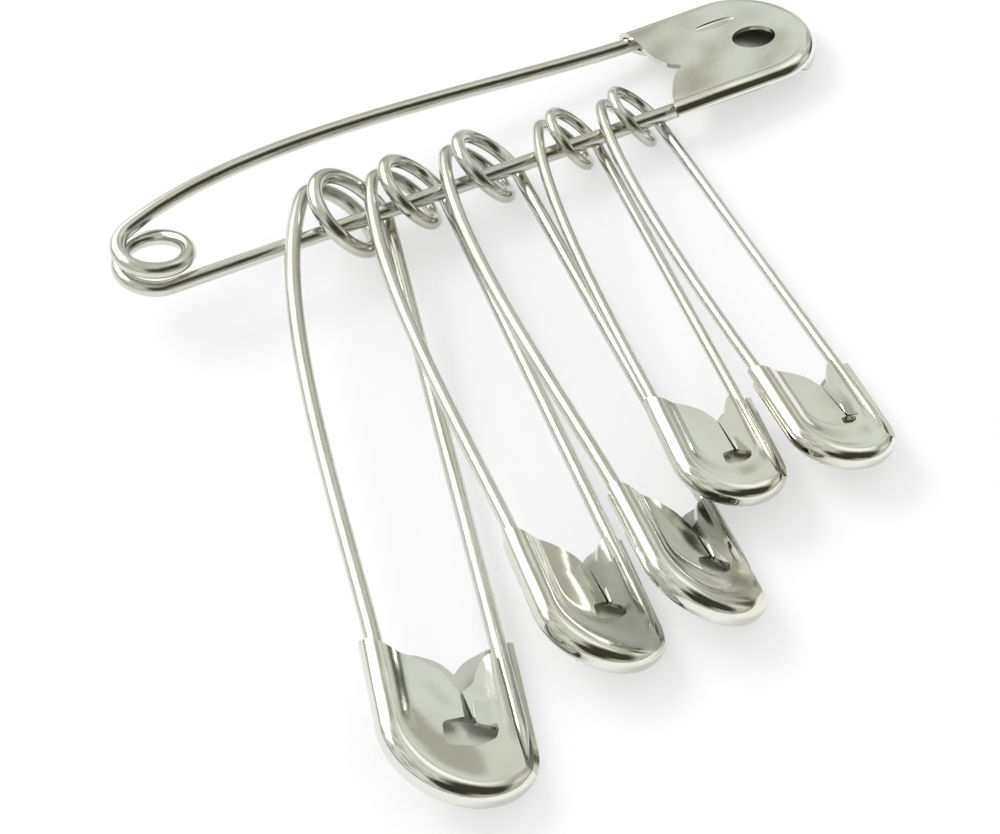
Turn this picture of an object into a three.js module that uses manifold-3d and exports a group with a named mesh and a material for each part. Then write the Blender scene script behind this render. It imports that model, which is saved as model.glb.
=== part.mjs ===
// A bunch of nickel plated safety pins: a large carrier pin holds five closed pins, which are
// strung by their coils on its sprung arm. Millimetres, +Z up, resting on z = 0.
// Each pin is one bent wire (bowed fixed arm, spring coil, pointed sprung arm) and a pressed cap.
// A pin is drawn with its coil at the origin, its cap towards +X and its bowed arm on +Y. The
// cap's plain face is up and its folded face, where the sprung arm comes out, is down.
import * as THREE from 'three';
import { mergeVertices } from 'three/addons/utils/BufferGeometryUtils.js';
import Module from 'manifold-3d';

const wasm = await Module();
wasm.setup();
const { Manifold, Mesh: Solid } = wasm;

// The three pin sizes, each from the middle of the coil to the end of the cap.
const LARGE_PIN = 53.5;
const MEDIUM_PIN = 46.6;
const SMALL_PIN = 38.6;

// The shape that all sizes have in common, as shares of that length.
const WIRE_SHARE = 0.0208;
const COIL_RADIUS_SHARE = 0.0565;
const CARRIER_COIL_RADIUS_SHARE = 0.045;
const CAP_HALF_WIDTH_SHARE = 0.1015;
const MOUTH_SHARE = 0.7625;
const BOW_LEAD_SHARE = 0.226;
const BOW_DRAW_X_SHARE = 0.22;
const BOW_DRAW_Y_SHARE = 0.009;
const BOW_END_SHARE = 0.88;
const ARM_END_SHARE = 0.925;
const POINT_SHARE = 0.06;

// The edges of the cap's mouth, as shares along and across the pin: on each face two lobes, one
// beside the bow and one beside the sprung arm, meet in a notch.
const PLAIN_BOW_LOBE_SHARES = [[0.765, 0.11], [0.769, 0.06], [0.768, 0.02], [0.775, -0.002], [0.79, -0.018]];
const PLAIN_ARM_LOBE_SHARES = [[0.79, -0.018], [0.773, -0.03], [0.753, -0.054], [0.735, -0.08], [0.725, -0.11]];
const FOLDED_BOW_LOBE_SHARES = [[0.765, 0.11], [0.783, 0.078], [0.797, 0.035], [0.813, 0.01], [0.842, -0.008]];
const FOLDED_ARM_LOBE_SHARES = [[0.842, -0.008], [0.82, -0.028], [0.8, -0.036], [0.78, -0.048], [0.76, -0.075]];

// The hole of the plain face and the short crease beside it, as middles and half sizes.
const HOLE_SHARES = { x: 0.91, y: -0.012, halfLength: 0.031, halfWidth: 0.018 };
const CREASE_SHARES = { x: 0.88, y: 0.042, halfLength: 0.03, halfWidth: 0.005 };

// The hole of the folded face, the slot that joins it to the notch, and the tongue bent into it.
const WINDOW_SHARES = [
  [0.876, -0.012], [0.889, 0.024], [0.926, 0.026], [0.921, -0.018], [0.905, -0.042], [0.883, -0.05],
];
const SLOT_SHARE = 0.012;
const TONGUE_SHARES = [[0.85, -0.046], [0.888, -0.062], [0.888, -0.018], [0.853, -0.02]];
const TONGUE_ROOT_SHARE = -0.048;
const TONGUE_BEND = 14;

// The coil starts and ends at these shares of a turn from +X.
const COIL_FROM_TURNS = 110 / 360;
const COIL_TO_TURNS = 1.75;
const COIL_SPACE = 0.45;

// The cap's sheet, its rounded rim, its sunk folded face, and the room that the wires have in it.
const SHEET = 0.35;
const RIM_SHARE = 0.42;
const SINK = 0.3;
const SINK_SLOPE = 0.55;
const WIRE_PLAY = 0.07;
const ARM_PLAY = 0.16;
const ARM_DROP = 0.1;
const LIP_SHARE = 0.38;
const ROOT_PLAY = 0.08;

// The least room between the carrier's arm and a coil strung on it, and between two strung pins.
const BORE_GAP = 0.1;
const NEIGHBOUR_GAP = 0.15;

// The carrier lies with its bowed side low. Each strung pin lies face down with its bowed side
// high: its place along the carrier's arm as a share of the carrier's length, its heading and
// roll in degrees, and how far its cap is propped above the floor as a share of its wire.
const CARRIER_ROLL = -4;
const STRUNG = [
  { length: LARGE_PIN, station: 0.264, heading: -110.9, roll: 24, prop: 0 },
  { length: MEDIUM_PIN, station: 0.351, heading: -103.3, roll: 28, prop: 0 },
  { length: MEDIUM_PIN, station: 0.461, heading: -101, roll: 34, prop: 0 },
  { length: SMALL_PIN, station: 0.588, heading: -103.9, roll: 15, prop: 2 },
  { length: SMALL_PIN, station: 0.685, heading: -98.9, roll: 16.5, prop: 1.2 },
];

// How finely round things are drawn and how finely places are searched.
const WIRE_SIDES = 10;
const COIL_STEPS = 40;
const BOW_STEPS = 16;
const END_STEPS = 14;
const LOBE_STEPS = 8;
const HOLE_STEPS = 14;
const TILT_STEP = 0.5;
const MOST_TILT = 70;
const STATION_STEP_SHARE = 0.002;
const SEAT_SHARES = [0.2, 0.3, 0.4, 0.5, 0.6];
const RISE_SHARES = [-0.2, -0.15, -0.1, -0.05, 0];

const CARRIER_HEIGHT_SHARE = 0.08;
const SETTLE_PASSES = 3;
const GAP_STEPS = 200;
const CAP_ROWS = [-1, -0.5, 0, 0.5, 1];

const NICKEL = 0xbec3b4;
const WIRE_ROUGHNESS = 0.22;
const CAP_ROUGHNESS = 0.15;
const FORWARD = new THREE.Vector3(1, 0, 0);
const LEFT = new THREE.Vector3(0, 1, 0);
const UP = new THREE.Vector3(0, 0, 1);
const turns = (share) => share * 2 * Math.PI;
const radians = (degrees) => degrees * Math.PI / 180;

// The winding of a coil, from the bowed arm down to the sprung arm, tilted about the pin's length.
class CoilCurve extends THREE.Curve {
  constructor(radius, pitch, skew) {
    super();
    Object.assign(this, { radius, pitch, skew });
  }

  getPoint(t, target = new THREE.Vector3()) {
    const count = COIL_TO_TURNS - COIL_FROM_TURNS;
    const angle = turns(COIL_FROM_TURNS + count * t);
    const height = this.pitch * count * (0.5 - t);
    target.set(this.radius * Math.cos(angle), this.radius * Math.sin(angle), height);
    return target.applyAxisAngle(FORWARD, this.skew);
  }
}

// The part of a curve between two shares of its length.
class CurvePart extends THREE.Curve {
  constructor(whole, from, to) {
    super();
    Object.assign(this, { whole, from, to });
  }

  getPoint(t, target = new THREE.Vector3()) {
    return target.copy(this.whole.getPointAt(this.from + (this.to - this.from) * t));
  }
}

// All sizes of one pin, from its length and the radius of its coil.
function sizesOf(length, coilRadius) {
  const wire = WIRE_SHARE * length;
  const half = wire / 2;
  const capHalf = CAP_HALF_WIDTH_SHARE * length;
  return {
    length,
    wire,
    half,
    capHalf,
    coilRadius,
    pitch: wire + COIL_SPACE,
    mouth: MOUTH_SHARE * length,
    capThick: wire + 2 * (SHEET + WIRE_PLAY),
    capEnd: length - capHalf,
    bowSide: capHalf - SHEET - WIRE_PLAY - half,
    armSide: capHalf - SHEET - ARM_PLAY - half,
  };
}

// Where the wire of a pin runs: the coil, the bow's curve and the sprung arm's line.
function routeOf(size, skew) {
  const { length } = size;
  const coil = new CoilCurve(size.coilRadius, size.pitch, skew);
  const start = coil.getPoint(0);
  const lead = coil.getTangent(0).multiplyScalar(-BOW_LEAD_SHARE * length).add(start);
  const entry = new THREE.Vector3(size.mouth, size.bowSide, 0);
  const draw = new THREE.Vector3(-BOW_DRAW_X_SHARE * length, BOW_DRAW_Y_SHARE * length, 0).add(entry);
  const end = new THREE.Vector3(BOW_END_SHARE * length, size.bowSide, 0);
  const bow = new THREE.CurvePath();
  bow.add(new THREE.CubicBezierCurve3(start, lead, draw, entry));
  bow.add(new THREE.LineCurve3(entry, end));
  const tip = new THREE.Vector3(ARM_END_SHARE * length, -size.armSide, -ARM_DROP);
  return { coil, bow, arm: new THREE.LineCurve3(coil.getPoint(1), tip) };
}

function wireAlong(curve, radius, steps) {
  const corners = Array.from({ length: WIRE_SIDES }, (_, i) => {
    const angle = turns(i / WIRE_SIDES);
    return new THREE.Vector2(radius * Math.cos(angle), radius * Math.sin(angle));
  });
  return new THREE.ExtrudeGeometry(new THREE.Shape(corners), { extrudePath: curve, steps });
}

function bowOf(size, route) {
  const part = new CurvePart(route.bow, ROOT_PLAY / route.bow.getLength(), 1);
  return wireAlong(part, size.half, BOW_STEPS);
}

function coilOf(size, route) {
  const seat = (size.half + ROOT_PLAY) / route.coil.getLength();
  return wireAlong(new CurvePart(route.coil, 0, 1 - seat), size.half, COIL_STEPS);
}

// The sprung arm is straight: a round root, an even shank and a ground point.
function armOf(size, route) {
  const { half } = size;
  const reach = route.arm.getLength();
  const point = POINT_SHARE * size.length;
  const root = [-60, -30, 0].map(radians);
  const profile = [
    new THREE.Vector2(0, -half),
    ...root.map((angle) => new THREE.Vector2(half * Math.cos(angle), half * Math.sin(angle))),
    new THREE.Vector2(half, reach - point),
    new THREE.Vector2(half / 2, reach - point / 3),
    new THREE.Vector2(0, reach),
  ];
  return new THREE.LatheGeometry(profile, WIRE_SIDES);
}

function solidOf(geometry) {
  const plain = geometry.clone();
  plain.deleteAttribute('normal');
  plain.deleteAttribute('uv');
  const merged = mergeVertices(plain, 1e-4);
  return new Manifold(new Solid({
    numProp: 3,
    vertProperties: new Float32Array(merged.attributes.position.array),
    triVerts: new Uint32Array(merged.index.array),
  }));
}

function geometryOf(solid) {
  const mesh = solid.getMesh();
  const geometry = new THREE.BufferGeometry();
  geometry.setAttribute('position', new THREE.BufferAttribute(mesh.vertProperties, 3));
  geometry.setIndex(new THREE.BufferAttribute(mesh.triVerts, 1));
  geometry.computeVertexNormals();
  return geometry;
}

// The cap seen from above, drawn in from its edge: straight sides, and a half round at the end.
function capOutline(size, inset, from) {
  const reach = size.capHalf - inset;
  const points = [new THREE.Vector2(from, reach), new THREE.Vector2(from, -reach)];
  for (let i = 0; i <= END_STEPS; i += 1) {
    const angle = turns(i / END_STEPS / 2 - 0.25);
    points.push(new THREE.Vector2(size.capEnd + reach * Math.cos(angle), reach * Math.sin(angle)));
  }
  return new THREE.Shape(points);
}

// A plate of some outline with rounded edges, from the height low to the height high.
function plate(shape, low, high, round, slope) {
  const geometry = new THREE.ExtrudeGeometry(shape, {
    depth: high - low - 2 * round,
    bevelThickness: round,
    bevelSize: slope,
    bevelOffset: -slope,
  });
  return solidOf(geometry.translate(0, 0, low + round));
}

function prism(points, low, high) {
  const shape = new THREE.Shape(points);
  const geometry = new THREE.ExtrudeGeometry(shape, { depth: high - low, bevelEnabled: false });
  return solidOf(geometry.translate(0, 0, low));
}

function ovalPoints({ x, y, halfLength, halfWidth }, length) {
  const curve = new THREE.EllipseCurve(x * length, y * length, halfLength * length, halfWidth * length);
  return curve.getPoints(HOLE_STEPS).slice(1);
}

function scaled(shares, length) {
  return shares.map(([x, y]) => new THREE.Vector2(x * length, y * length));
}

// What is cut away for the mouth of one face: its edge runs in two rounded lobes to a notch.
function mouthCut(size, bowLobe, armLobe, low, high) {
  const lobes = [bowLobe, armLobe].flatMap((lobe) => (
    new THREE.SplineCurve(scaled(lobe, size.length)).getPoints(LOBE_STEPS)
  ));
  const edge = lobes.filter((point, i) => i !== LOBE_STEPS + 1);
  const first = edge[0];
  const last = edge[edge.length - 1];
  const start = size.mouth - 2 * size.capHalf;
  const side = 2 * size.capHalf;
  return prism([
    ...edge.reverse(),
    new THREE.Vector2(first.x, side),
    new THREE.Vector2(start, side),
    new THREE.Vector2(start, -side),
    new THREE.Vector2(last.x, -side),
  ], low, high);
}

// The tongue: a flap of the folded face, bent into the hole beside the sprung arm.
function tongueOf(size, level) {
  const root = TONGUE_ROOT_SHARE * size.length;
  const shape = new THREE.Shape(scaled(TONGUE_SHARES, size.length));
  const geometry = new THREE.ExtrudeGeometry(shape, { depth: SHEET, bevelEnabled: false });
  geometry.translate(0, -root, 0).rotateX(radians(TONGUE_BEND)).translate(0, root, level);
  return solidOf(geometry);
}

// The cap: a pressed shell with a sunk folded face, a mouth, a hole through each face, a slot
// from the notch to the hole, and a side channel that lets the sprung arm out.
function capOf(size, route) {
  const { length, half, capHalf, capThick, mouth } = size;
  const beyond = 2 * capHalf;
  const outer = capThick / 2;
  const inner = outer - SHEET;
  const from = mouth - capHalf;
  const sinkInset = SHEET + size.wire + 2 * WIRE_PLAY - SINK_SLOPE / 2;
  const sunk = capOutline(size, sinkInset, from - capHalf);
  const sinkTo = (level) => plate(sunk, -level - beyond, SINK - level, SINK, SINK_SLOPE);
  const hollow = plate(
    capOutline(size, SHEET, from - capHalf), -inner, inner, RIM_SHARE * 2 * inner, RIM_SHARE * 2 * inner,
  ).subtract(sinkTo(inner));
  let cap = plate(
    capOutline(size, 0, from), -outer, outer, RIM_SHARE * capThick, RIM_SHARE * capThick,
  );
  cap = cap.subtract(sinkTo(outer)).subtract(hollow);
  cap = cap.subtract(mouthCut(size, PLAIN_BOW_LOBE_SHARES, PLAIN_ARM_LOBE_SHARES, 0, beyond));
  cap = cap.subtract(mouthCut(size, FOLDED_BOW_LOBE_SHARES, FOLDED_ARM_LOBE_SHARES, -beyond, 0));
  cap = cap.subtract(prism(ovalPoints(HOLE_SHARES, length), 0, beyond));
  cap = cap.subtract(prism(ovalPoints(CREASE_SHARES, length), outer - SHEET / 3, beyond));
  cap = cap.subtract(prism(scaled(WINDOW_SHARES, length).reverse(), -beyond, 0));
  const notch = scaled(FOLDED_ARM_LOBE_SHARES, length)[0];
  const window = scaled(WINDOW_SHARES, length)[0];
  const slot = SLOT_SHARE * length / 2;
  cap = cap.subtract(prism([
    new THREE.Vector2(notch.x - slot, notch.y - slot),
    new THREE.Vector2(window.x + slot, window.y - slot),
    new THREE.Vector2(window.x + slot, window.y + slot),
    new THREE.Vector2(notch.x - slot, notch.y + slot),
  ], -beyond, 0)).add(tongueOf(size, SINK - outer));
  const { v1: root, v2: tip } = route.arm;
  const room = half + ARM_PLAY;
  const rise = (tip.y - root.y) / (tip.x - root.x);
  return cap.subtract(prism([
    new THREE.Vector2(from, -beyond),
    new THREE.Vector2(tip.x + room, -beyond),
    new THREE.Vector2(tip.x + room, tip.y),
    new THREE.Vector2(tip.x, tip.y + room),
    new THREE.Vector2(from, root.y + rise * (from - root.x) + room),
  ], -beyond, LIP_SHARE * half));
}

// A chain of short straight pieces, each with half the thickness of what it stands for.
function chain(points, half) {
  return points.slice(1).map((end, i) => ({ line: new THREE.Line3(points[i], end), half }));
}

function wireChains(size, route) {
  return [
    ...chain(route.coil.getPoints(COIL_STEPS), size.half),
    ...chain(route.bow.getSpacedPoints(BOW_STEPS), size.half),
    ...chain(route.arm.getPoints(1), size.half),
  ];
}

function capChains(size) {
  const half = size.capThick / 2;
  return CAP_ROWS.flatMap((share) => {
    const reach = size.capHalf - half;
    const end = size.capEnd + reach * Math.sqrt(1 - share * share);
    const points = [size.mouth, end].map((x) => new THREE.Vector3(x, reach * share, 0));
    return chain(points, half);
  });
}

function moved(chains, matrix) {
  return chains.map(({ line, half }) => ({ line: line.clone().applyMatrix4(matrix), half }));
}

function gapBetween(some, others) {
  let least = Infinity;
  for (const a of some) {
    for (const b of others) {
      const apart = Math.sqrt(a.line.distanceSqToLine3(b.line)) - a.half - b.half;
      least = Math.min(least, apart);
    }
  }
  return least;
}

function lowestOf(chains) {
  const heights = chains.map(({ line, half }) => Math.min(line.start.z, line.end.z) - half);
  return Math.min(...heights);
}

// How a pin lies: its heading, the slope that takes its cap to the floor, and its roll.
function layOf(size, coilHeight, heading, roll, lift, facing) {
  const rim = size.capThick / 2;
  const capHeight = rim + (size.capHalf - rim) * Math.abs(Math.sin(radians(roll))) + lift;
  const slope = Math.asin((coilHeight - capHeight) / size.capEnd);
  return new THREE.Quaternion().setFromAxisAngle(UP, radians(heading))
    .multiply(new THREE.Quaternion().setFromAxisAngle(LEFT, slope))
    .multiply(new THREE.Quaternion().setFromAxisAngle(FORWARD, radians(facing - roll)));
}

function pinOf(size, route, position, quaternion) {
  const matrix = new THREE.Matrix4().compose(position, quaternion, new THREE.Vector3(1, 1, 1));
  const wires = moved(wireChains(size, route), matrix);
  const chains = [...wires, ...moved(capChains(size), matrix)];
  return { size, route, position, quaternion, matrix, wires, chains };
}

// The carrier, with the middle of its coil at some height.
function carrierAt(height) {
  const size = sizesOf(LARGE_PIN, CARRIER_COIL_RADIUS_SHARE * LARGE_PIN);
  const quaternion = layOf(size, height, 0, -CARRIER_ROLL, 0, 0);
  return pinOf(size, routeOf(size, 0), new THREE.Vector3(0, 0, height), quaternion);
}

// A pin strung at one place: its coil is tilted until the carrier's arm passes clear through it.
function strungAt(spot, station, carrier) {
  const size = sizesOf(spot.length, COIL_RADIUS_SHARE * spot.length);
  const arm = new THREE.Line3(...carrier.route.arm.getPoints(1)).applyMatrix4(carrier.matrix);
  const crossing = arm.at(station * LARGE_PIN / arm.distance(), new THREE.Vector3());
  const lift = spot.prop * size.wire;
  const quaternion = layOf(size, crossing.z, spot.heading, spot.roll, lift, 180);
  const rod = [{ line: arm, half: carrier.size.half }];
  let best = { gap: -Infinity };
  for (let tilt = spot.roll; tilt < MOST_TILT && best.gap < BORE_GAP; tilt += TILT_STEP) {
    const route = routeOf(size, radians(spot.roll - tilt));
    for (const seat of SEAT_SHARES) {
      for (const rise of RISE_SHARES) {
        const offset = new THREE.Vector3(seat, 0, rise).multiplyScalar(size.coilRadius);
        const position = crossing.clone().sub(offset.applyQuaternion(quaternion));
        const pin = pinOf(size, route, position, quaternion);
        const gap = gapBetween(pin.wires, rod);
        if (gap > best.gap) {
          best = { gap, tilt, pin };
        }
      }
    }
  }
  return best;
}

// All strung pins, from the one next to the cap: each is moved on until it is clear of the last.
function strungOn(carrier) {
  const pins = [];
  for (const spot of [...STRUNG].reverse()) {
    let { station } = spot;
    let found = strungAt(spot, station, carrier);
    const next = pins[0];
    while (next && station > 0 && gapBetween(found.pin.chains, next.pin.chains) < NEIGHBOUR_GAP) {
      station -= STATION_STEP_SHARE;
      found = strungAt(spot, station, carrier);
    }
    pins.unshift({ ...found, station });
  }
  return pins;
}

// The bunch as it rests: the carrier is as high as lets the lowest strung coil touch the floor.
function layBunch() {
  let height = CARRIER_HEIGHT_SHARE * LARGE_PIN;
  let carrier;
  let strung;
  for (let pass = 0; pass < SETTLE_PASSES; pass += 1) {
    carrier = carrierAt(height);
    strung = strungOn(carrier);
    height -= Math.min(...strung.map(({ pin }) => lowestOf(pin.wires)));
  }
  return { carrier, strung };
}

function coilGapOf({ size, route }) {
  const points = route.coil.getSpacedPoints(GAP_STEPS);
  const apart = Math.round(GAP_STEPS / (COIL_TO_TURNS - COIL_FROM_TURNS) / 2);
  let least = Infinity;
  for (let i = 0; i + apart < points.length; i += 1) {
    for (let j = i + apart; j < points.length; j += 1) {
      least = Math.min(least, points[i].distanceTo(points[j]) - size.wire);
    }
  }
  return least;
}

function meshOf(name, geometry, roughness) {
  const finish = { name, color: NICKEL, metalness: 1, roughness };
  const mesh = new THREE.Mesh(geometry, new THREE.MeshStandardMaterial(finish));
  mesh.name = name;
  return mesh;
}

// One pin as a group of its four pieces, placed as it lies.
function groupOf(name, pin) {
  const { size, route } = pin;
  const arm = meshOf(`${name}_arm`, armOf(size, route), WIRE_ROUGHNESS);
  arm.position.copy(route.arm.v1);
  arm.quaternion.setFromUnitVectors(LEFT, route.arm.getTangent(0));
  const group = new THREE.Group();
  group.name = name;
  group.add(
    meshOf(`${name}_bow`, bowOf(size, route), WIRE_ROUGHNESS),
    meshOf(`${name}_coil`, coilOf(size, route), WIRE_ROUGHNESS),
    arm,
    meshOf(`${name}_cap`, geometryOf(capOf(size, route)), CAP_ROUGHNESS),
  );
  group.position.copy(pin.position);
  group.quaternion.copy(pin.quaternion);
  return group;
}

const { carrier, strung } = layBunch();
const bunch = new THREE.Group();
bunch.name = 'safety_pins';
bunch.add(groupOf('carrier', carrier));
strung.forEach(({ pin }, i) => bunch.add(groupOf(`pin${i + 1}`, pin)));

const bounds = new THREE.Box3().setFromObject(bunch, true);
const foot = bounds.getCenter(new THREE.Vector3()).setZ(bounds.min.z);
bunch.children.forEach((pin) => pin.position.sub(foot));

strung.forEach(({ pin, gap, tilt, station }, i) => {
  const next = strung[i + 1];
  const room = gapBetween(pin.chains, next ? next.pin.chains : carrier.chains.slice(-CAP_ROWS.length));
  console.log(`pin${i + 1}: coil gap ${coilGapOf(pin).toFixed(3)} mm, bore gap ${gap.toFixed(3)} mm, `
    + `tilt ${tilt}, station ${station.toFixed(3)}, room beside it ${room.toFixed(3)} mm`);
});
console.log(`carrier: coil gap ${coilGapOf(carrier).toFixed(3)} mm`);

export default bunch;
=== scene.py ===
"""Looks of a bunch of nickel plated safety pins: a large carrier pin with five closed pins strung
by their coils on its sprung arm. Each pin is a drawn steel wire and a pressed cap."""

import math

import bmesh
import bpy
import numpy as np
from bpy.props import FloatProperty, FloatVectorProperty, IntProperty, PointerProperty
from mathutils import Euler, Matrix, Quaternion, Vector


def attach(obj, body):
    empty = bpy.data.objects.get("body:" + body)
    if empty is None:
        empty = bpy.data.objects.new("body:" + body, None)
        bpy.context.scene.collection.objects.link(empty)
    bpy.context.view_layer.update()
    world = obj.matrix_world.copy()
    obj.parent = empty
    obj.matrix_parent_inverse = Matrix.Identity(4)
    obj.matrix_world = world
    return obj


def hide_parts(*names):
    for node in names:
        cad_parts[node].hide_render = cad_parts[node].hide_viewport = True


bl_info = {
    "name": "Safety Pin Bunch",
    "version": (1, 0, 0),
    "blender": (4, 5, 0),
    "location": "View3D > Sidebar > Pins",
    "description": "Builds the polished wires, pressed caps and studio of a bunch of safety pins",
    "category": "Object",
}

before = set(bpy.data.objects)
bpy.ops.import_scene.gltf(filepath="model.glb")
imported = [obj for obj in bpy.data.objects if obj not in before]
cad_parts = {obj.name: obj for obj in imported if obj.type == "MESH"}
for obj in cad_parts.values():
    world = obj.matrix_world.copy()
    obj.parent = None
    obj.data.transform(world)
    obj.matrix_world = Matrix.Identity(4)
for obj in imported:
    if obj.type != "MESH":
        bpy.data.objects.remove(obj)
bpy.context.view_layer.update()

MM = 0.001

# Each pin: name, length, coil radius and coil skew in degrees, then its place and turn, in mm.
PINS = (
    (
        "carrier", 53.5, 2.4075, 0.0,
        (-22.4543, 23.2098, 5.4779), (0.998572, -0.034871, 0.040452, 0.001413),
    ),
    (
        "pin1", 53.5, 3.02275, -20.0,
        (-8.6005, 21.3669, 3.6212), (0.112443, 0.555881, -0.804815, -0.175003),
    ),
    (
        "pin2", 46.6, 2.6329, -18.0,
        (-3.6154, 21.0571, 3.3398), (0.146087, 0.603026, -0.760137, -0.192898),
    ),
    (
        "pin3", 46.6, 2.6329, -12.0,
        (2.2018, 20.8408, 2.9919), (0.188079, 0.607638, -0.738437, -0.223862),
    ),
    (
        "pin4", 38.6, 2.1809, -35.0,
        (9.0332, 20.3867, 2.5911), (0.08961, 0.609827, -0.781627, -0.095605),
    ),
    (
        "pin5", 38.6, 2.1809, -33.5,
        (14.1329, 20.2037, 2.3006), (0.099224, 0.642502, -0.752689, -0.103945),
    ),
)

# How each cap's folded face varies: how far its mouth is shifted, as a share of the pin's length,
# and the shares of the full window and slot that are left open.
FOLDS = {
    "carrier": (0.0, 0.5, 0.5),
    "pin1": (0.0, 1.0, 1.0),
    "pin2": (-0.02, 0.75, 0.35),
    "pin3": (-0.018, 0.8, 0.5),
    "pin4": (-0.032, 0.75, 0.4),
    "pin5": (-0.032, 0.4, 0.25),
}

# The wire that all pins share, as shares of a pin's length. The coil's two ends are in turns; where
# its heading is taken and how much of its end eases are shares of the winding.
WIRE = 0.0208
LEAD = 0.226
DRAW = (0.22, 0.009)
BOW_END = 0.88
ARM_END = 0.925
POINT = 0.06
COIL_FROM = 110 / 360
COIL_TO = 1.75
COIL_EASE = 0.05
COIL_START = 0.001

# The room between the coil's turns, the dip of the arm's tip and the blunt end of its point, in
# mm, and how full the point's curve is.
COIL_SPACE = 0.45
ARM_DROP = 0.1
POINT_TIP = 0.012
POINT_CURVE = 1.7

# How the coil's wire ends inside the arm, in mm along it and as shares of its radius; where the
# arm's first rings lie, in mm; and how thick its round root is, as a share of its radius.
WIRE_TAIL = ((0.1, 0.985), (0.3, 0.8))
ROOT_RINGS = (0, 0.1, 0.3)
ROOT_FIT = 0.97

# The cap's half width and mouth as shares of a pin's length.
CAP_HALF = 0.1015
MOUTH = 0.7625

# The cap's sheet, the play of the bow and of the arm in it, how deep its folded face is sunk, and
# how far the cutters of its two mouths overlap, in mm.
SHEET = 0.35
WIRE_PLAY = 0.07
ARM_PLAY = 0.16
SINK = 0.3
SEAM = 0.01

# The height of each round of the rim as a share of the cap's thickness. How wide the slope of the
# sunk face is and how far it stays back from the nose, in wires. How high above the pin's plane the
# side is cut open for the arm, as a share of the wire's radius.
RIM = 0.42
SINK_SLOPE = 1.3
NOSE_DRAW = 2.0
LIP = 0.38

# Rings on the cap's plain face inside its rim, the level edge of the sunk face, and how far the
# hollow runs out past the body, in mm. The hollow's sunk face is wider by a share of the sheet.
FACE_RINGS = (0.45, 0.05)
SINK_EDGE = 0.2
HOLLOW_REACH = 1.0
HOLLOW_EASE = 0.3

# The mouth of the plain and of the folded face, from the bow to the notch and on to the arm, as
# shares along and across.
PLAIN_BOW_LOBE = ((0.765, 0.11), (0.769, 0.06), (0.768, 0.02), (0.775, -0.002), (0.79, -0.018))
PLAIN_ARM_LOBE = ((0.79, -0.018), (0.773, -0.03), (0.753, -0.054), (0.737, -0.08), (0.731, -0.11))
FOLDED_BOW_LOBE = ((0.765, 0.11), (0.783, 0.078), (0.797, 0.035), (0.813, 0.01), (0.842, -0.008))
FOLDED_ARM_LOBE = ((0.842, -0.008), (0.82, -0.028), (0.8, -0.036), (0.78, -0.048), (0.76, -0.075))

# The hole and the crease of the plain face: centre, half length and half width, as shares.
HOLE = (0.91, -0.012, 0.031, 0.025)
CREASE = (0.88, 0.042, 0.033, 0.0075)

# The window, slot and tongue of the folded face, and the sheet bent inwards behind the window from
# its start to its root and from side to side, as shares. The slot starts at a share of its width,
# and the tongue's bend is in degrees.
WINDOW = (
    (0.876, -0.012), (0.889, 0.024), (0.926, 0.026), (0.921, -0.018), (0.905, -0.042),
    (0.883, -0.05),
)
WINDOW_MIDDLE = (0.897, -0.022)
SLOT = 0.012
SLOT_START = 0.3
TONGUE = ((0.85, -0.046), (0.888, -0.062), (0.888, -0.018), (0.853, -0.02))
TONGUE_ROOT = -0.048
TONGUE_BEND = -6.0
GUIDE = (0.868, 0.934, -0.054, 0.03)

# How far the corners of the window and of the bent sheets are rounded, as shares of their sides.
WINDOW_CORNER = 0.25
FLAP_CORNER = 0.15

# The tongue's and the window sheet's thickness, and the crease's half height and its centre above
# the plain face, as shares of the sheet.
TONGUE_SHEET = 0.8
GUIDE_SHEET = 0.6
CREASE_HALF = 0.5
CREASE_RISE = 0.05

# Edges sharper than this, in degrees, get a fine round. Points closer than this, in mm, are one.
EDGE_ANGLE = 32
WELD = 0.002

# Steps of the curves that the panel doesn't set.
RIM_STEPS = 10
SLOPE_STEPS = 12
LOBE_STEPS = 6
CORNER_STEPS = 5
ROOT_STEPS = 6
POINT_STEPS = 8
HOLE_STEPS = 40
CREASE_SIDES = 32

# The nickel's noises: the drawn lines' repeats per centimetre along and per turn around the wire,
# the others' per metre, and the depth of the relief in metres.
DRAWN_LINES = (6, 60, 1)
ORANGE_PEEL = (2600, 2600, 2600)
HAZE_SCALE = 420.0
BROAD_SCALE = 170.0
SPECK_SCALE = 3200.0
RELIEF_DEPTH = 0.00004

# Where the noises turn into specks and into warm plate, how much specks colour and dull it, how
# much fine lines dull it, and the shares of the fine and the broad relief.
SPECK_EDGE = (0.7, 0.8)
WARM_EDGE = (0.35, 0.65)
SPECK_TINT = 0.35
SPECK_DULL = 0.12
LINE_DULL = 0.05
WIRE_RELIEF = (0.5, 0.15)
CAP_RELIEF = (0.2, 1.0)

# The studio as polished metal sees it: the wall from low to high, its patches and the horizon.
WALL_LOW = (0.66, 0.67, 0.62, 1)
WALL_HIGH = (0.95, 0.97, 0.92, 1)
WALL_RISE = (0.0, 0.3)
WALL_PATCH = (0.56, 0.56, 0.49, 1)
PATCH_SCALE = 4.0
PATCH_EDGE = (0.4, 0.62)
HORIZON = (0.2, 0.2, 0.16, 1)
HORIZON_RISE = (0.0, 0.05)

# Pale and dark regions of the wall: azimuth and elevation, inner and outer angle in degrees, and
# colour.
REGIONS = (
    (12, 1, 7, 17, (0.13, 0.13, 0.1)),
    (97, 34, 20, 32, (2.0, 2.0, 1.95)),
    (14, 45, 6, 16, (1.4, 1.4, 1.35)),
    (-46, 38, 19, 35, (0.06, 0.055, 0.035)),
    (-100, 38, 17, 33, (0.05, 0.05, 0.035)),
)

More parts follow.
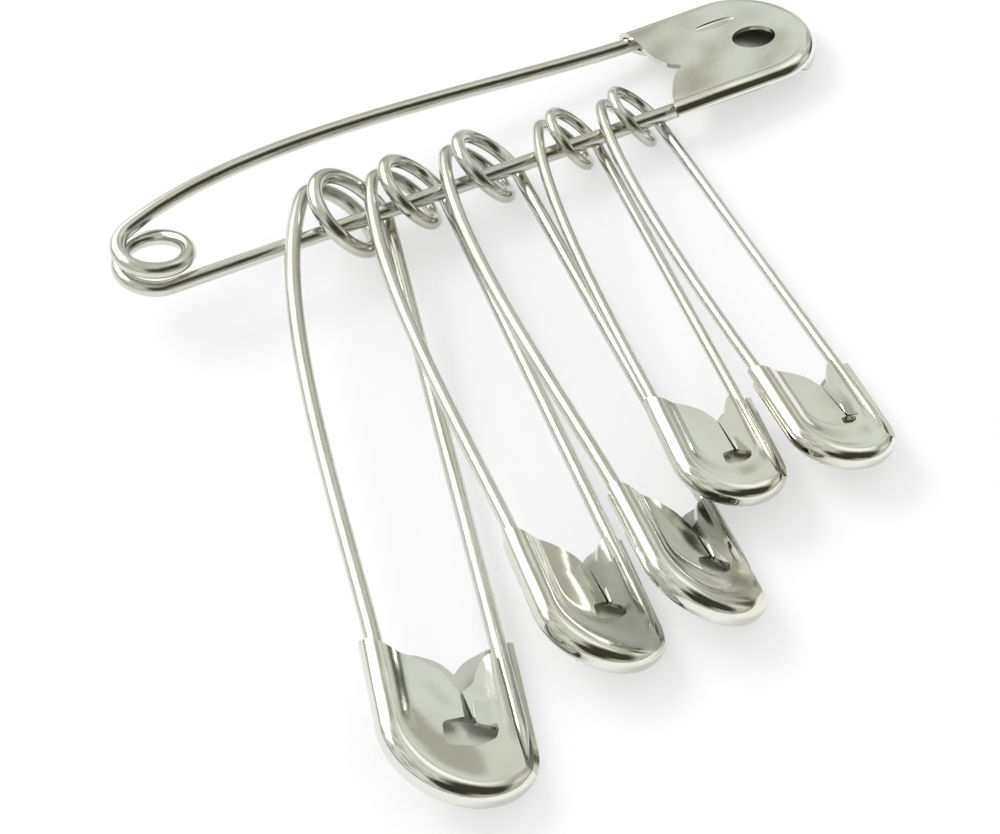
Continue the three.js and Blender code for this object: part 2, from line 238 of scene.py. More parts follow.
# The floor's radius, its height below the pins and where its painted reflection grows dark, in
# metres;
# its grain and how dusty it gets, and how dark its reflection is painted far out; its own light to
# the camera, and the painted glow of its reflection near the pins; and how far the camera sees
# through it.
FLOOR_RADIUS = 2.5
FLOOR_HEIGHT = -0.0001
FLOOR_FAR = (0.06, 0.3)
FLOOR_GRAIN = 40.0
FLOOR_DUST = 0.99
FLOOR_DARK = 0.5
FLOOR_SEEN = 0.06
FLOOR_SHINE = 0.2
FLOOR_CLEAR = 0.45

# The soft box: size and place in metres.
LAMP_SIZE = (0.35, 0.25)
LAMP_PLACE = (-0.24, 0.34, 0.42)

# The camera: its place in mm, and which way is right, up and forward.
CAMERA_PLACE = (-99.9245, -171.7587, 196.3265)
CAMERA_RIGHT = (0.858402, -0.510636, -0.048952)
CAMERA_UP = (0.391816, 0.591069, 0.705066)
CAMERA_TOWARD = (0.331099, 0.62441, -0.70745)


class Sizes:
    """All sizes of one pin in mm, and where its wire runs."""

    def __init__(self, length, coil_radius, skew):
        self.length = length
        self.wire = WIRE * length
        self.half = self.wire / 2
        self.cap_half = CAP_HALF * length
        self.coil_radius = coil_radius
        self.skew = math.radians(skew)
        self.pitch = self.wire + COIL_SPACE
        self.mouth = MOUTH * length
        self.thick = self.wire + 2 * (SHEET + WIRE_PLAY)
        self.cap_end = length - self.cap_half
        self.bow_side = self.cap_half - SHEET - WIRE_PLAY - self.half
        self.arm_side = self.cap_half - SHEET - ARM_PLAY - self.half

    def coil(self, share):
        """A point of the winding, from the bow (0) to the sprung arm (1), where its rise eases."""
        count = COIL_TO - COIL_FROM
        angle = 2 * math.pi * (COIL_FROM + count * share)
        eased = share - max(share - 1 + COIL_EASE, 0) ** 2 / (2 * COIL_EASE)
        flat = Vector((
            self.coil_radius * math.cos(angle),
            self.coil_radius * math.sin(angle),
            self.pitch * count * (0.5 - eased),
        ))
        return Matrix.Rotation(self.skew, 3, "X") @ flat

    def bow(self, steps):
        """Points of the bowed arm, from its end in the cap to the coil."""
        start = self.coil(0)
        heading = (self.coil(COIL_START) - start).normalized()
        lead = start - heading * LEAD * self.length
        entry = Vector((self.mouth, self.bow_side, 0))
        draw = entry + Vector((-DRAW[0] * self.length, DRAW[1] * self.length, 0))
        points = [Vector((BOW_END * self.length, self.bow_side, 0))]
        for i in range(steps + 1):
            u = 1 - i / steps
            v = 1 - u
            points.append(
                v ** 3 * start + 3 * v * v * u * lead + 3 * v * u * u * draw + u ** 3 * entry
            )
        return points

    def arm(self):
        """The root and the tip of the sprung arm."""
        return self.coil(1), Vector((ARM_END * self.length, -self.arm_side, -ARM_DROP))


def placed(pin):
    """The matrix that takes a pin's own millimetres to its place in the frame, in metres."""
    place, turn = Vector(pin[4]) * MM, Quaternion(pin[5])
    return Matrix.LocRotScale(place, turn, Vector((MM, MM, MM)))


def mesh_object(name, bm):
    """A smooth shaded object made of a finished bmesh."""
    mesh = bpy.data.meshes.new(name)
    bmesh.ops.recalc_face_normals(bm, faces=bm.faces)
    for face in bm.faces:
        face.smooth = True
    bm.to_mesh(mesh)
    bm.free()
    made = bpy.data.objects.new(name, mesh)
    bpy.context.scene.collection.objects.link(made)
    return made


def swept(points, radii, sides):
    """A round wire along points, with a radius at each, closed at both ends. Its UV map runs along
    the wire in centimetres and once around it."""
    points = [Vector(p) for p in points]
    tangents = []
    for i in range(len(points)):
        a = points[max(i - 1, 0)]
        b = points[min(i + 1, len(points) - 1)]
        tangents.append((b - a).normalized())
    across = tangents[0].orthogonal().normalized()
    bm = bmesh.new()
    rings, along = [], [0.0]
    for i, point in enumerate(points):
        if i:
            along.append(along[-1] + (point - points[i - 1]).length)
            turn = tangents[i - 1].rotation_difference(tangents[i])
            across = turn @ across
        across = (across - tangents[i] * across.dot(tangents[i])).normalized()
        beside = tangents[i].cross(across)
        ring = []
        for k in range(sides):
            angle = 2 * math.pi * k / sides
            outward = math.cos(angle) * across + math.sin(angle) * beside
            ring.append(bm.verts.new(point + radii[i] * outward))
        rings.append(ring)
    layer = bm.loops.layers.uv.new("UVMap")
    for i in range(len(rings) - 1):
        for k in range(sides):
            n = (k + 1) % sides
            face = bm.faces.new((rings[i][k], rings[i][n], rings[i + 1][n], rings[i + 1][k]))
            corners = ((i, k), (i, k + 1), (i + 1, k + 1), (i + 1, k))
            for loop, (j, m) in zip(face.loops, corners):
                loop[layer].uv = (along[j] / 10, m / sides)
    for i in (0, -1):
        tip = bm.verts.new(points[i])
        for k in range(sides):
            face = bm.faces.new((rings[i][k], rings[i][(k + 1) % sides], tip))
            for loop in face.loops:
                loop[layer].uv = (along[i] / 10, 0.5)
    return bm


class Value:
    """A node's output in an expression: the operators add Math nodes."""

    def __init__(self, maker, socket):
        self.maker = maker
        self.socket = socket

    def _with(self, operation, *values):
        settings = {"operation": operation}
        return self.maker.node("ShaderNodeMath", settings, dict(enumerate(values)))

    def __add__(self, other):
        return self._with("ADD", self, other)

    def __radd__(self, other):
        return self._with("ADD", other, self)

    def __sub__(self, other):
        return self._with("SUBTRACT", self, other)

    def __rsub__(self, other):
        return self._with("SUBTRACT", other, self)

    def __mul__(self, other):
        return self._with("MULTIPLY", self, other)

    def __rmul__(self, other):
        return self._with("MULTIPLY", other, self)


class Maker:
    """Adds nodes to one node tree."""

    def __init__(self, tree):
        self.tree = tree
        tree.nodes.clear()

    def node(self, kind, settings=None, inputs=None, output=0):
        """A node of some type: its settings first, then values or links for its sockets."""
        made = self.tree.nodes.new(kind)
        for key, setting in (settings or {}).items():
            setattr(made, key, setting)
        for key, value in (inputs or {}).items():
            socket = made.inputs[key]
            if isinstance(value, Value):
                self.tree.links.new(value.socket, socket)
            else:
                socket.default_value = value
        return Value(self, made.outputs[output])

    def smooth(self, value, low, high):
        """0 below low, 1 above high, and a smooth rise between."""
        settings = {"interpolation_type": "SMOOTHSTEP", "clamp": True}
        inputs = {"Value": value, "From Min": low, "From Max": high}
        return self.node("ShaderNodeMapRange", settings, inputs)

    def mix(self, share, first, second):
        """One colour towards another."""
        inputs = {"Factor": share, 6: first, 7: second}
        return self.node("ShaderNodeMix", {"data_type": "RGBA"}, inputs, output=2)

    def noise(self, vector, scale, detail=3.0, roughness=0.55):
        """An even noise about 0.5."""
        inputs = {"Vector": vector, "Scale": scale, "Detail": detail, "Roughness": roughness}
        return self.node("ShaderNodeTexNoise", None, inputs)

    def output(self, kind, surface):
        """The tree's output node, fed by a shader."""
        made = self.tree.nodes.new(kind)
        self.tree.links.new(surface.socket, made.inputs["Surface"])


def nickel(name, look, roughness, drawn):
    """Bright nickel plate. Drawn wire has fine lines along it, and a pressed cap has a soft orange
    peel. Both are a little hazy and warm in places, with small dull specks."""
    material = bpy.data.materials.new(name)
    material.use_nodes = True
    make = Maker(material.node_tree)
    place = make.node("ShaderNodeTexCoord", output=3)
    around = make.node("ShaderNodeTexCoord", output=2)
    lines = make.node("ShaderNodeMapping", None, {
        "Vector": around if drawn else place,
        "Scale": DRAWN_LINES if drawn else ORANGE_PEEL,
    })
    fine = make.noise(lines, 1.0, 4.0, 0.6)
    haze = make.noise(place, HAZE_SCALE, 4.0)
    broad = make.noise(place, BROAD_SCALE, 1.0, 0.4)
    specks = make.smooth(make.noise(place, SPECK_SCALE, 2.0), *SPECK_EDGE)
    plate, warm = (
        tuple(part * (look.wire_shade if drawn else 1.0) for part in colour) + (1,)
        for colour in (look.plate_colour, look.warm_colour)
    )
    tint = make.mix(make.smooth(broad, *WARM_EDGE), plate, warm)
    tint = make.mix(specks * SPECK_TINT, tint, tuple(look.speck_colour) + (1,))
    uneven = look.haze * (haze - 0.5) + LINE_DULL * (fine - 0.5)
    rough = roughness + uneven + SPECK_DULL * specks
    fine_share, broad_share = WIRE_RELIEF if drawn else CAP_RELIEF
    height = fine * fine_share + broad * (look.waviness * broad_share)
    bump = make.node("ShaderNodeBump", None, {
        "Strength": look.relief,
        "Distance": RELIEF_DEPTH,
        "Height": height,
    })
    make.output("ShaderNodeOutputMaterial", make.node("ShaderNodeBsdfPrincipled", None, {
        "Base Color": tint,
        "Metallic": 1.0,
        "Roughness": rough,
        "Normal": bump,
    }))
    return material


def finish_of(kind):
    """The one material of all wires, of all caps or of the insides of all caps."""
    found = bpy.data.materials.get(kind)
    if found:
        return found
    look = bpy.context.scene.pin_look
    rough = {
        "drawn_nickel": look.wire_roughness,
        "pressed_nickel": look.cap_roughness,
        "inner_nickel": look.inner_roughness,
    }[kind]
    return nickel(kind, look, rough, kind == "drawn_nickel")


def dressed(made, pin, part, body, *nodes):
    """Gives a finished piece its place, material and body, and hides the CAD nodes that it stands
    for.
    """
    made.data.transform(placed(pin))
    if part != "cap":
        made.data.materials.append(finish_of("drawn_nickel"))
    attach(made, body)
    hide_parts(*nodes)
    return made


def outline(sizes, inset, start, back, steps):
    """The cap from above, drawn in from its edge: straight sides, and a half round at the end,
    which can lie further back."""
    reach = sizes.cap_half - inset
    points = [(start, reach), (start, -reach)]
    for i in range(steps + 1):
        angle = math.pi * (i / steps - 0.5)
        x = sizes.cap_end - back + reach * math.cos(angle)
        points.append((x, reach * math.sin(angle)))
    return points


def two_faced(made):
    """Gives a piece of a cap the finishes of its outside and its inside, in that order."""
    for kind in ("pressed_nickel", "inner_nickel"):
        made.data.materials.append(finish_of(kind))
    return made


def cap_body(sizes, inset, steps):
    """The closed form of the cap: round rims, a plain face above, and below it a face sunk inside
    the rim that holds the wires. Drawn in by an inset it is the cap's hollow."""
    level = sizes.thick / 2 - inset
    drop = 2 * RIM * level
    rim = SHEET + sizes.half + 2 * WIRE_PLAY
    turn = rim - inset
    arc = []
    for i in range(RIM_STEPS + 1):
        angle = math.pi / 2 * i / RIM_STEPS
        arc.append((turn * math.cos(angle), drop * math.sin(angle)))
    profile = [(rim + inward, level, 0) for inward in FACE_RINGS]
    profile += [(rim - across, level - drop + up, 0) for across, up in reversed(arc)]
    profile += [(rim - across, drop - level - up, 0) for across, up in arc]
    top = rim - inset * HOLLOW_EASE
    slope = SINK_SLOPE * sizes.wire
    for i in range(1, SLOPE_STEPS + 1):
        share = i / SLOPE_STEPS
        profile.append((
            top + slope * share,
            SINK * share * share * (3 - 2 * share) - level,
            NOSE_DRAW * sizes.wire * share,
        ))
    profile.append((top + slope + SINK_EDGE, SINK - level, profile[-1][2]))
    bm = bmesh.new()
    start = sizes.mouth - 2 * sizes.cap_half - (HOLLOW_REACH if inset else 0.0)
    rings = []
    for drawn_in, height, back in profile:
        flat = outline(sizes, drawn_in, start, back, steps)
        rings.append([bm.verts.new((x, y, height)) for x, y in flat])
    count = len(rings[0])
    for a, b in zip(rings, rings[1:]):
        for k in range(count):
            bm.faces.new((a[k], a[(k + 1) % count], b[(k + 1) % count], b[k]))
    bm.faces.new(rings[0])
    bm.faces.new(rings[-1])
    for face in bm.faces:
        face.material_index = 1 if inset else 0
    return two_faced(mesh_object("cap_body", bm))


def block(points, low, high):
    """An upright block on an outline."""
    bm = bmesh.new()
    ends = [[bm.verts.new((x, y, z)) for x, y in points] for z in (low, high)]
    for k in range(len(points)):
        n = (k + 1) % len(points)
        bm.faces.new((ends[0][k], ends[0][n], ends[1][n], ends[1][k]))
    for end in ends:
        bm.faces.new(end)
    return mesh_object("block", bm)


def curved(shares, length):
    """A smooth line through points given as shares of a length."""
    known = np.array(shares) * length
    steps_at = np.concatenate([[0], np.cumsum(np.linalg.norm(np.diff(known, axis=0), axis=1))])
    slopes = np.gradient(known, steps_at, axis=0)
    line = []
    for i in range(len(known) - 1):
        span = steps_at[i + 1] - steps_at[i]
        for k in range(LOBE_STEPS):
            u = k / LOBE_STEPS
            line.append(
                (2 * u ** 3 - 3 * u * u + 1) * known[i]
                + (u ** 3 - 2 * u * u + u) * span * slopes[i]
                + (3 * u * u - 2 * u ** 3) * known[i + 1]
                + (u ** 3 - u * u) * span * slopes[i + 1]
            )
    line.append(known[-1])
    return [tuple(p) for p in line]


def mouth_block(sizes, bow_lobe, arm_lobe, low, high):
    """What is cut away for the mouth of one face."""
    edge = curved(bow_lobe, sizes.length) + curved(arm_lobe, sizes.length)[1:]
    side = 2 * sizes.cap_half
    start = sizes.mouth - 3 * sizes.cap_half
    around = [(edge[-1][0], -side), (start, -side), (start, side), (edge[0][0], side)]
    return block(edge + around, low, high)


def slot_block(sizes, notch, corner, parted):
    """What is cut away between the notch of the mouth and the window's first corner."""
    wide = SLOT * sizes.length / 2 * parted
    tight = wide * SLOT_START
    return block([
        (notch[0] - wide, notch[1] - tight), (corner[0] + wide, corner[1] - wide),
        (corner[0] + wide, corner[1] + wide), (notch[0] - wide, notch[1] + tight),
    ], -2 * sizes.cap_half, 0)


def channel_block(sizes):
    """What is cut away beside the arm, so that it can leave through the folded side. The end of
    the cut leans outwards, away from the pin's plane."""
    far = 2 * sizes.cap_half
    root, tip = sizes.arm()
    room = sizes.half + ARM_PLAY
    rise = (tip.y - root.y) / (tip.x - root.x)
    start = sizes.mouth - sizes.cap_half
    made = block([
        (start - far, -far), (tip.x + room, -far), (tip.x + room, tip.y),
        (tip.x, tip.y + room), (start - far, root.y + rise * (start - far - root.x) + room),
    ], -far, LIP * sizes.half)
    for vertex in made.data.vertices:
        if vertex.co.z < 0 and vertex.co.x > start:
            vertex.co.x += far + LIP * sizes.half
    return made


def oval(shares, length):
    """An oval outline from its centre, half length and half width."""
    x, y, half_length, half_width = (share * length for share in shares)
    angles = [2 * math.pi * i / HOLE_STEPS for i in range(HOLE_STEPS)]
    return [(x + half_length * math.cos(a), y + half_width * math.sin(a)) for a in angles]


def rounded(points, share):
    """A polygon with its corners rounded."""
    out = []
    count = len(points)
    for k in range(count):
        a, b, c = (Vector(points[(k + d) % count]) for d in (-1, 0, 1))
        first, last = b.lerp(a, share), b.lerp(c, share)
        for i in range(CORNER_STEPS + 1):
            u = i / CORNER_STEPS
            out.append(tuple((1 - u) ** 2 * first + 2 * (1 - u) * u * b + u * u * last))
    return out


def tongue(sizes):
    """The flap of the folded face that is bent into its window."""
    points = rounded([(x * sizes.length, y * sizes.length) for x, y in TONGUE], FLAP_CORNER)
    made = block(points, 0, SHEET * TONGUE_SHEET)
    root = TONGUE_ROOT * sizes.length
    level = SINK - sizes.thick / 2
    made.data.transform(
        Matrix.Translation((0, root, level + SHEET * (1 - TONGUE_SHEET) / 2))
        @ Matrix.Rotation(math.radians(TONGUE_BEND), 4, "X")
        @ Matrix.Translation((0, -root, 0))
    )
    return made


def guide(sizes):
    """The sheet of the window, bent inwards behind it so that the cap can't be looked through."""
    start, root, low, high = (share * sizes.length for share in GUIDE)
    corners = [(start, low), (root, low), (root, high), (start, high)]
    half = SHEET * GUIDE_SHEET / 2
    made = block(rounded(corners, FLAP_CORNER), -half, half)
    level = SINK - sizes.thick / 2 + SHEET / 2
    rise = sizes.thick / 2 - SHEET * 1.5 - level
    made.data.transform(
        Matrix.Translation((root, 0, level))
        @ Matrix.Rotation(math.atan2(rise, root - start), 4, "Y")
        @ Matrix.Translation((-root, 0, 0))
    )
    for face in made.data.polygons:
        face.material_index = 1
    return two_faced(made)


def crease(sizes):
    """The slim dent beside the hole of the plain face."""
    x, y, half_length, half_width = (share * sizes.length for share in CREASE)
    bm = bmesh.new()
    bmesh.ops.create_uvsphere(
        bm, u_segments=CREASE_SIDES, v_segments=CREASE_SIDES // 2, radius=1
    )
    bmesh.ops.scale(bm, vec=(half_length, half_width, SHEET * CREASE_HALF), verts=bm.verts)
    bmesh.ops.translate(bm, vec=(x, y, sizes.thick / 2 + SHEET * CREASE_RISE), verts=bm.verts)
    return mesh_object("crease", bm)


def changed(body, changes):
    """A body after its cuts and joins, as a new mesh. The cutters are removed."""
    for operation, other in changes:
        step = body.modifiers.new(operation.lower(), "BOOLEAN")
        step.operation = operation
        step.solver = "EXACT"
        step.object = other
    graph = bpy.context.evaluated_depsgraph_get()
    mesh = bpy.data.meshes.new_from_object(body.evaluated_get(graph))
    for _, other in changes:
        bpy.data.objects.remove(other)
    body.modifiers.clear()
    body.data = mesh
    return body


def crisp(made, width):
    """Fine rounds on the cut edges, and shading that stays flat on flat faces."""
    bm = bmesh.new()
    bm.from_mesh(made.data)
    bmesh.ops.remove_doubles(bm, verts=bm.verts, dist=WELD)
    bmesh.ops.dissolve_degenerate(bm, edges=bm.edges, dist=WELD)
    for face in bm.faces:
        face.smooth = True
    for edge in bm.edges:
        edge.smooth = edge.calc_face_angle(0) < math.radians(EDGE_ANGLE)
    bm.to_mesh(made.data)
    bm.free()
    if width:
        round_off = made.modifiers.new("edges", "BEVEL")
        round_off.width = width
        round_off.segments = 2
        round_off.limit_method = "ANGLE"
        round_off.angle_limit = math.radians(EDGE_ANGLE)
        round_off.use_clamp_overlap = True
    weights = made.modifiers.new("weights", "WEIGHTED_NORMAL")
    weights.keep_sharp = True
    graph = bpy.context.evaluated_depsgraph_get()
    mesh = bpy.data.meshes.new_from_object(made.evaluated_get(graph))
    made.modifiers.clear()
    made.data = mesh
    return made


class PinLook(bpy.types.PropertyGroup):
    """Finish of the nickel plate."""

    plate_colour: FloatVectorProperty(
        name="Plate", description="Colour of the nickel plate", subtype="COLOR", size=3,
        default=(0.67, 0.68, 0.635),
    )
    warm_colour: FloatVectorProperty(
        name="Warm plate", description="Colour where the plate is thin", subtype="COLOR", size=3,
        default=(0.63, 0.63, 0.56),
    )
    speck_colour: FloatVectorProperty(
        name="Specks", description="Colour of small dull specks", subtype="COLOR", size=3,
        default=(0.42, 0.42, 0.38),
    )
    wire_shade: FloatProperty(
        name="Wire shade", description="Share of the cap's brightness", default=0.88,
        min=0, max=1, subtype="FACTOR",
    )
    wire_roughness: FloatProperty(
        name="Wire roughness", description="How dull the wire is", default=0.17,
        min=0, max=1, subtype="FACTOR",
    )
    cap_roughness: FloatProperty(
        name="Cap roughness", description="How dull the cap is", default=0.1,
        min=0, max=1, subtype="FACTOR",
    )
    inner_roughness: FloatProperty(
        name="Inner roughness", description="How dull the inside of a cap is", default=0.55,
        min=0, max=1, subtype="FACTOR",
    )
    haze: FloatProperty(
        name="Haze", description="How uneven the gloss is", default=0.12,
        min=0, max=1, subtype="FACTOR",
    )
    waviness: FloatProperty(
        name="Waviness", description="Broad unevenness of the surface", default=14.0,
    )
    relief: FloatProperty(
        name="Relief", description="Strength of fine lines and waves", default=0.5,
        min=0, max=1, subtype="FACTOR",
    )


class PinShape(bpy.types.PropertyGroup):
    """How finely the pins are drawn."""

    wire_sides: IntProperty(
        name="Wire sides", description="Faces around a wire", default=20, min=8,
    )
    coil_steps: IntProperty(
        name="Coil steps", description="Steps along a coil", default=110, min=20,
    )
    bow_steps: IntProperty(
        name="Bow steps", description="Steps along a bow", default=60, min=10,
    )
    end_steps: IntProperty(
        name="Cap end steps", description="Steps around a cap's end", default=48, min=12,
    )
    edge_round: FloatProperty(
        name="Edge round", description="Width of the round on cut edges in millimetres",
        default=0.05,
    )


class PinStage(bpy.types.PropertyGroup):
    """The studio."""

    lens: FloatProperty(
        name="Lens", description="Focal length on a 36 mm sensor in millimetres",
        default=148.5622, unit="CAMERA",
    )
    key_power: FloatProperty(
        name="Key", description="Power of the soft box", default=1.6, subtype="POWER",
    )
    ambient: FloatProperty(
        name="Ambient", description="Strength of the light from all around", default=0.85,
    )
    floor_colour: FloatVectorProperty(
        name="Floor", description="Colour of the floor", subtype="COLOR", size=3,
        default=(0.93, 0.93, 0.94),
    )


class PIN_OT_wires(bpy.types.Operator):
    """Bend each pin's bowed arm and spring coil from one wire"""

    bl_idname = "pin.wires"
    bl_label = "Bend Wires"

    def execute(self, context):
        shape = context.scene.pin_shape
        for pin in PINS:
            sizes = Sizes(*pin[1:4])
            points = sizes.bow(shape.bow_steps)
            for i in range(shape.coil_steps):
                points.append(sizes.coil((i + 1) / shape.coil_steps))
            radii = [sizes.half] * len(points)
            heading = (sizes.arm()[1] - points[-1]).normalized()
            for reach, share in WIRE_TAIL:
                points.append(sizes.coil(1) + heading * reach)
                radii.append(sizes.half * share)
            made = mesh_object(f"{pin[0]}_wire", swept(points, radii, shape.wire_sides))
            dressed(made, pin, "bow", f"{pin[0]}_pin", f"{pin[0]}_bow", f"{pin[0]}_coil")
        return {"FINISHED"}


class PIN_OT_arms(bpy.types.Operator):
    """Draw each pin's sprung arm with its ground point"""

    bl_idname = "pin.arms"
    bl_label = "Point Arms"

    def execute(self, context):
        sides = context.scene.pin_shape.wire_sides
        for pin in PINS:
            sizes = Sizes(*pin[1:4])
            root, tip = sizes.arm()
            reach = (tip - root).length
            heading = (tip - root) / reach
            point = POINT * sizes.length
            profile = []
            for i in range(1, ROOT_STEPS):
                angle = math.pi / 2 * i / ROOT_STEPS
                round_end = sizes.half * ROOT_FIT
                profile.append((round_end * -math.cos(angle), round_end * math.sin(angle)))
            shank = (*ROOT_RINGS, reach / 2, reach - point - ROOT_RINGS[-1], reach - point)
            profile += [(at, sizes.half) for at in shank]
            for i in range(1, POINT_STEPS + 1):
                share = i / POINT_STEPS
                radius = sizes.half * (1 - share ** POINT_CURVE) + POINT_TIP
                profile.append((reach - point * (1 - share), radius))
            points = [root + heading * at for at, _ in profile]
            radii = [radius for _, radius in profile]
            made = mesh_object(f"{pin[0]}_needle", swept(points, radii, sides))
            dressed(made, pin, "arm", f"{pin[0]}_point", f"{pin[0]}_arm")
        return {"FINISHED"}


class PIN_OT_caps(bpy.types.Operator):
    """Press each pin's cap with its mouth, holes, crease, tongue and side channel"""

    bl_idname = "pin.caps"
    bl_label = "Press Caps"

    def execute(self, context):
        shape = context.scene.pin_shape
        for pin in PINS:
            sizes = Sizes(*pin[1:4])
            shift, opened, parted = FOLDS[pin[0]]
            far = 2 * sizes.cap_half
            bow_lobe, arm_lobe = (
                [(x + shift, y) for x, y in lobe] for lobe in (FOLDED_BOW_LOBE, FOLDED_ARM_LOBE)
            )
            window = [
                tuple(
                    (middle + (share - middle) * opened) * sizes.length
                    for share, middle in zip(corner, WINDOW_MIDDLE)
                )
                for corner in WINDOW
            ]
            notch = (arm_lobe[0][0] * sizes.length, arm_lobe[0][1] * sizes.length)
            changes = [
                ("DIFFERENCE", cap_body(sizes, SHEET, shape.end_steps)),
                ("DIFFERENCE", mouth_block(sizes, PLAIN_BOW_LOBE, PLAIN_ARM_LOBE, -SEAM, far)),
                ("DIFFERENCE", mouth_block(sizes, bow_lobe, arm_lobe, -far, SEAM)),
                ("DIFFERENCE", block(oval(HOLE, sizes.length), 0, far)),
                ("DIFFERENCE", crease(sizes)),
                ("DIFFERENCE", block(rounded(window, WINDOW_CORNER), -far, 0)),
                ("DIFFERENCE", slot_block(sizes, notch, window[0], parted)),
                ("UNION", tongue(sizes)),
                ("UNION", guide(sizes)),
                ("DIFFERENCE", channel_block(sizes)),
            ]
            made = changed(cap_body(sizes, 0, shape.end_steps), changes)
            made.name = f"{pin[0]}_shell"
            crisp(made, shape.edge_round)
            dressed(made, pin, "cap", f"{pin[0]}_pin", f"{pin[0]}_cap")
        return {"FINISHED"}


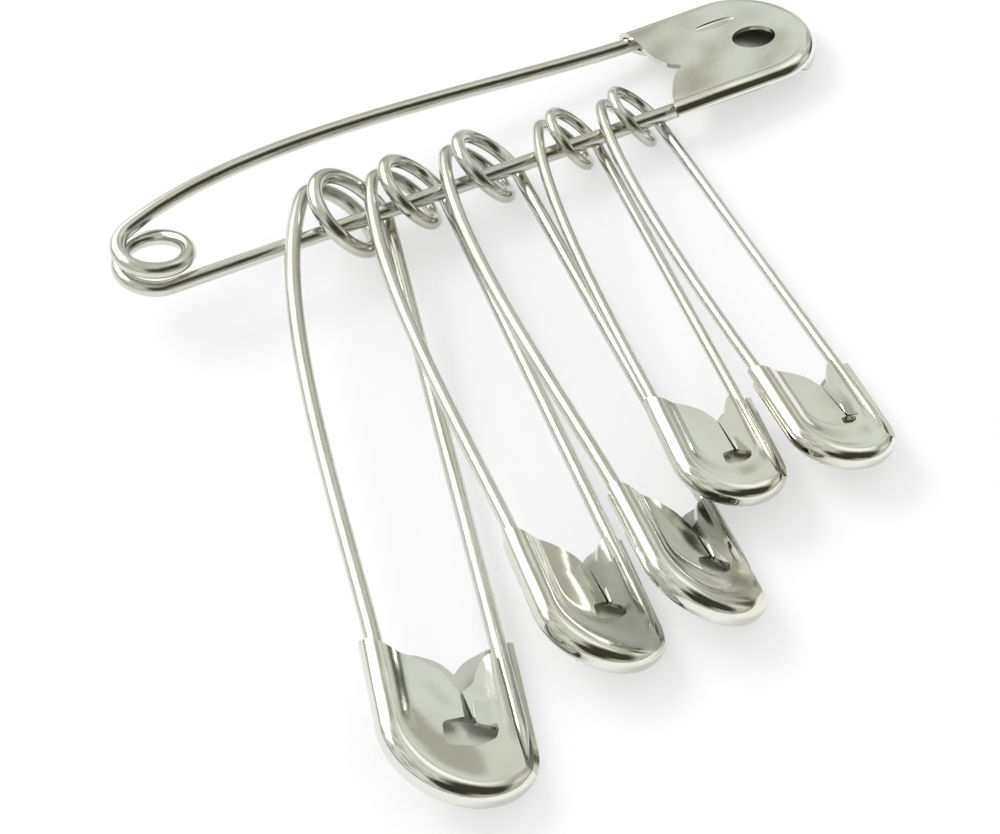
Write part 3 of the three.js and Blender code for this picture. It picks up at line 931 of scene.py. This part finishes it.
class PIN_OT_stage(bpy.types.Operator):
    """Set the floor, the soft studio light and the camera"""

    bl_idname = "pin.stage"
    bl_label = "Set Stage"

    def execute(self, context):
        stage = context.scene.pin_stage
        self.floor(stage)
        self.world(context, stage)
        self.lamp(stage)
        self.camera(context, stage)
        context.scene.view_settings.view_transform = "Standard"
        return {"FINISHED"}

    def floor(self, stage):
        """A pale matt floor that darkens far out in reflections. The camera sees faintly through
        it, so that what swings below the resting surface isn't lost."""
        bm = bmesh.new()
        bmesh.ops.create_circle(bm, cap_ends=True, segments=64, radius=FLOOR_RADIUS)
        made = mesh_object("floor", bm)
        made.location.z = FLOOR_HEIGHT
        material = bpy.data.materials.new("floor")
        material.use_nodes = True
        make = Maker(material.node_tree)
        place = make.node("ShaderNodeTexCoord", output=3)
        colour = tuple(stage.floor_colour)
        dusty = tuple(part * FLOOR_DUST for part in colour)
        grain_and_painted_dark = make.mix(make.noise(place, FLOOR_GRAIN), colour + (1,), dusty + (1,))
        seen = make.node("ShaderNodeLightPath")
        shine = make.node("ShaderNodeLightPath", output=3)
        reach = make.node("ShaderNodeVectorMath", {"operation": "LENGTH"}, {0: place}, output=1)
        far = make.smooth(reach, *FLOOR_FAR)
        # Painted reflection: for glossy rays only, the floor is painted dark far out.
        grain_and_painted_dark = make.mix(shine * far * FLOOR_DARK, grain_and_painted_dark, (0, 0, 0, 1))
        matt = make.node("ShaderNodeBsdfDiffuse", None, {"Color": grain_and_painted_dark, "Roughness": 0.5})
        # Painted reflection: for glossy rays the floor glows brighter near the pins. To the camera
        # it glows evenly, so that it renders white.
        glow = seen * FLOOR_SEEN + shine * (1 - far) * FLOOR_SHINE
        lift = make.node("ShaderNodeEmission", None, {"Color": (1, 1, 1, 1), "Strength": glow})
        both = make.node("ShaderNodeAddShader", None, {0: matt, 1: lift})
        clear = make.node("ShaderNodeBsdfTransparent")
        veil = make.node("ShaderNodeMixShader", None, {0: seen * FLOOR_CLEAR, 1: both, 2: clear})
        make.output("ShaderNodeOutputMaterial", veil)
        made.data.materials.append(material)

    def world(self, context, stage):
        """A white studio, in which polished metal sees pale walls with bright and dark regions."""
        world = bpy.data.worlds.new("studio")
        context.scene.world = world
        world.use_nodes = True
        make = Maker(world.node_tree)
        way = make.node("ShaderNodeTexCoord", output=0)
        axes = [
            make.node("ShaderNodeSeparateXYZ", None, {"Vector": way}, output=i) for i in range(3)
        ]

        def near(azimuth, elevation, inner, outer):
            """1 within the inner angle of a direction, and 0 outside the outer one."""
            turn = Euler((0, -math.radians(elevation), math.radians(azimuth))).to_matrix()
            toward = turn @ Vector((1, 0, 0))
            along = axes[0] * toward.x + axes[1] * toward.y + axes[2] * toward.z
            low, high = (math.cos(math.radians(angle)) for angle in (outer, inner))
            return make.smooth(along, low, high)

        wall = make.mix(make.smooth(axes[2], *WALL_RISE), WALL_LOW, WALL_HIGH)
        patches = make.smooth(make.noise(way, PATCH_SCALE, 1.0), *PATCH_EDGE)
        wall = make.mix(patches, wall, WALL_PATCH)
        for azimuth, elevation, inner, outer, colour in REGIONS:
            wall = make.mix(near(azimuth, elevation, inner, outer), wall, colour + (1,))
        wall = make.mix(make.smooth(axes[2], *HORIZON_RISE), HORIZON, wall)
        seen = make.node("ShaderNodeLightPath")
        glossy = make.node("ShaderNodeLightPath", output=3)
        light = make.mix(glossy, (stage.ambient,) * 3 + (1,), wall)
        light = make.mix(seen, light, (1, 1, 1, 1))
        sky = make.node("ShaderNodeBackground", None, {"Color": light})
        make.output("ShaderNodeOutputWorld", sky)

    def lamp(self, stage):
        """One soft box, turned to the pins."""
        lamp = bpy.data.lights.new("soft_box", "AREA")
        lamp.shape = "RECTANGLE"
        lamp.size, lamp.size_y = LAMP_SIZE
        lamp.energy = stage.key_power
        made = bpy.data.objects.new("soft_box", lamp)
        place = Vector(LAMP_PLACE)
        made.location = place
        made.rotation_euler = (-place).to_track_quat("-Z", "Y").to_euler()
        bpy.context.scene.collection.objects.link(made)

    def camera(self, context, stage):
        """The camera at the photograph's place."""
        camera = bpy.data.cameras.new("camera")
        camera.lens = stage.lens
        camera.sensor_width = 36
        camera.clip_start = 0.01
        made = bpy.data.objects.new("camera", camera)
        right, up, toward = Vector(CAMERA_RIGHT), Vector(CAMERA_UP), Vector(CAMERA_TOWARD)
        turn = Matrix((right, up, -toward)).transposed().to_4x4()
        made.matrix_world = Matrix.Translation(Vector(CAMERA_PLACE) * MM) @ turn
        context.scene.collection.objects.link(made)
        context.scene.camera = made


class PIN_PT_panel(bpy.types.Panel):
    """Sizes, finishes and steps of the pin bunch"""

    bl_idname = "PIN_PT_panel"
    bl_label = "Safety Pins"
    bl_space_type = "VIEW_3D"
    bl_region_type = "UI"
    bl_category = "Pins"

    def draw(self, context):
        for group in (context.scene.pin_look, context.scene.pin_shape, context.scene.pin_stage):
            box = self.layout.box()
            for name in group.__annotations__:
                box.prop(group, name)
        for operator in OPERATORS:
            self.layout.operator(operator.bl_idname)


OPERATORS = (PIN_OT_wires, PIN_OT_arms, PIN_OT_caps, PIN_OT_stage)
CLASSES = (PinLook, PinShape, PinStage, *OPERATORS, PIN_PT_panel)


def register():
    for each in CLASSES:
        bpy.utils.register_class(each)
    bpy.types.Scene.pin_look = PointerProperty(type=PinLook)
    bpy.types.Scene.pin_shape = PointerProperty(type=PinShape)
    bpy.types.Scene.pin_stage = PointerProperty(type=PinStage)


def unregister():
    del bpy.types.Scene.pin_stage
    del bpy.types.Scene.pin_shape
    del bpy.types.Scene.pin_look
    for each in reversed(CLASSES):
        bpy.utils.unregister_class(each)


def main():
    register()
    bpy.ops.pin.wires()
    bpy.ops.pin.arms()
    bpy.ops.pin.caps()
    bpy.ops.pin.stage()


if __name__ == "__main__":
    main()
